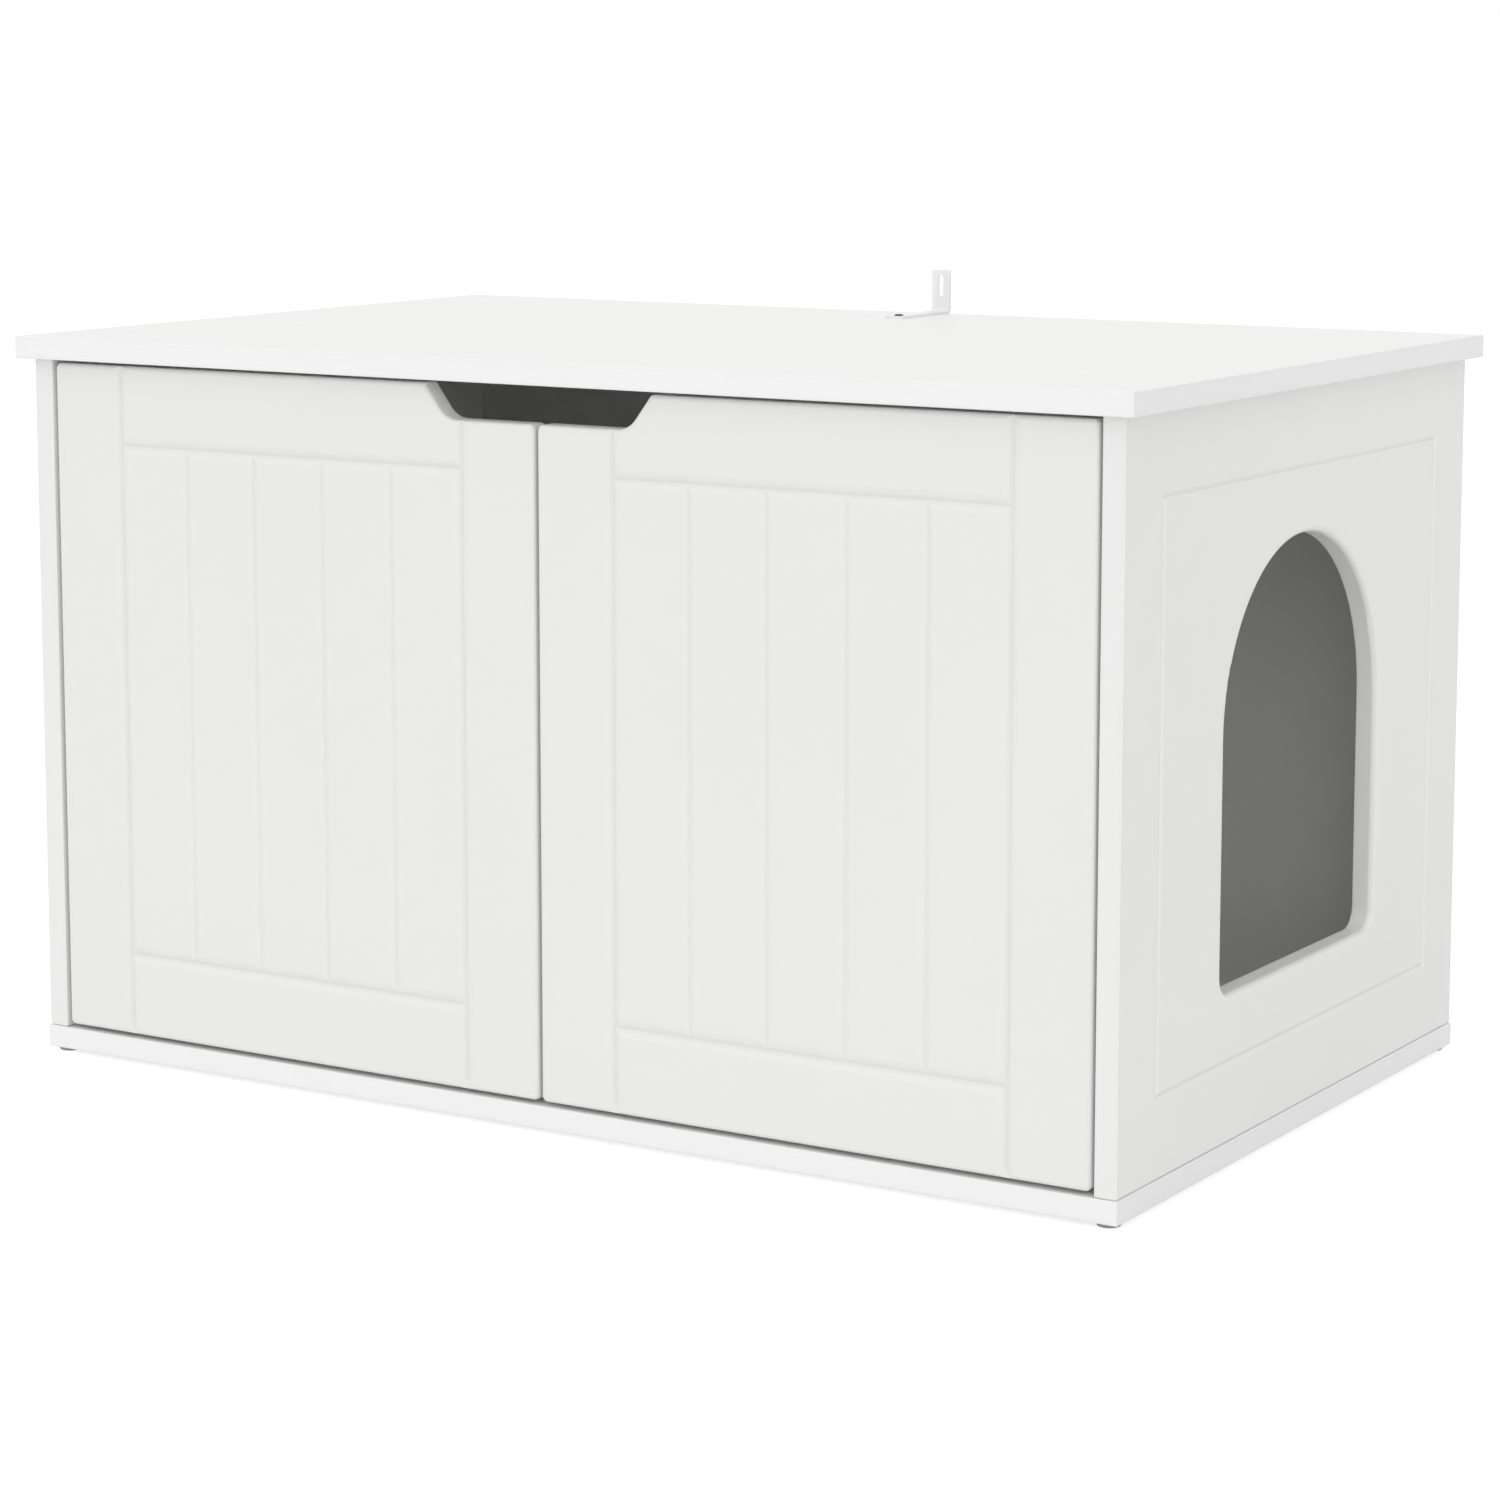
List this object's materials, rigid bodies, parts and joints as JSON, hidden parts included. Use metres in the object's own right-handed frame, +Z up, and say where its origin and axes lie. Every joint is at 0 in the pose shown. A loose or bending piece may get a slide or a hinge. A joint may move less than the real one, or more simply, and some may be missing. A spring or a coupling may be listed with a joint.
{
  "type": "cat house",
  "caption": "White board cabinet for a cat's litter tray, with an arched entry in one side, inset panelled doors with a shared finger notch, an overhanging top and a wall bracket.",
  "frame": {"origin": "on the floor, under the middle of the top", "axes": "+X to the right, towards the side with the entry; +Y to the back; +Z up; the doors face -Y"},
  "size_m": [0.9, 0.57, 0.564],
  "materials": {
    "white_board": "white satin foil on board",
    "grey_plastic": "moulded",
    "bright_steel": "nickel plated",
    "beech": "bare beech",
    "white_steel": "white powder coat",
    "black_steel": "black oxide",
    "white_plastic": "moulded",
    "magnet": "ferrite"
  },
  "bodies": {
    "cabinet": {"base_panel": "white_board", "left_side_panel": "white_board", "right_side_panel": "white_board", "back_panel": "white_board", "top_panel": "white_board", "feet": "grey_plastic", "base_screws": "bright_steel", "top_dowels": "beech", "top_cam_bolts": "bright_steel", "back_cams": "bright_steel", "wall_bracket": "white_steel", "bracket_screw": "black_steel", "left_back_dowels": "beech", "left_back_cam_bolts": "bright_steel", "left_side_cams": "bright_steel", "left_catch_body": "white_plastic", "left_catch_magnet": "magnet", "left_catch_screws": "bright_steel", "left_plate_screws": "bright_steel", "left_arm_screws": "bright_steel", "left_upper_hinge_arm": "bright_steel", "left_upper_hinge_plate": "bright_steel", "left_lower_hinge_arm": "bright_steel", "left_lower_hinge_plate": "bright_steel", "right_back_dowels": "beech", "right_back_cam_bolts": "bright_steel", "right_side_cams": "bright_steel", "right_catch_body": "white_plastic", "right_catch_magnet": "magnet", "right_catch_screws": "bright_steel", "right_plate_screws": "bright_steel", "right_arm_screws": "bright_steel", "right_upper_hinge_arm": "bright_steel", "right_upper_hinge_plate": "bright_steel", "right_lower_hinge_arm": "bright_steel", "right_lower_hinge_plate": "bright_steel"},
    "left_door": {"left_door": "white_board", "left_cup_screws": "bright_steel", "left_strike_plate": "bright_steel", "left_strike_screw": "bright_steel", "left_upper_hinge_cup": "bright_steel", "left_upper_hinge_pin": "bright_steel", "left_lower_hinge_cup": "bright_steel", "left_lower_hinge_pin": "bright_steel"},
    "right_door": {"right_door": "white_board", "right_cup_screws": "bright_steel", "right_strike_plate": "bright_steel", "right_strike_screw": "bright_steel", "right_upper_hinge_cup": "bright_steel", "right_upper_hinge_pin": "bright_steel", "right_lower_hinge_cup": "bright_steel", "right_lower_hinge_pin": "bright_steel"}
  },
  "joints": [
    {"name": "left_door_hinge", "type": "hinge", "parent": "cabinet", "child": "left_door", "pos_m": [-0.41, -0.266, 0.2665], "axis": [0, 0, -1], "range_deg": [0, 95]},
    {"name": "right_door_hinge", "type": "hinge", "parent": "cabinet", "child": "right_door", "pos_m": [0.41, -0.266, 0.2665], "axis": [0, 0, 1], "range_deg": [0, 95]}
  ]
}
